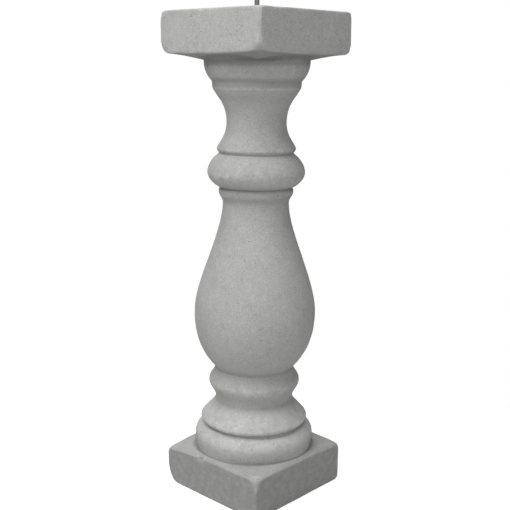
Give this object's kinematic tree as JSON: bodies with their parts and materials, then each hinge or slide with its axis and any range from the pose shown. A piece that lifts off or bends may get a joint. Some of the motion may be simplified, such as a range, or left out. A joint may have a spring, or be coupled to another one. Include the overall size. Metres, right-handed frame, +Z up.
{
  "type": "cast stone baluster",
  "caption": "Turned cast-cement baluster with square cap and plinth, and a steel rod standing out of its head.",
  "frame": {"origin": "middle of the underside of the plinth, which it stands on", "axes": "+Z up along the turned shaft, +X and +Y square to the plinth's faces"},
  "size_m": [0.163, 0.163, 0.66],
  "materials": {
    "cast_cement": "matte",
    "rod_steel": "matte"
  },
  "bodies": {
    "root": {"baluster": "cast_cement", "steel_rod": "rod_steel"}
  },
  "joints": []
}
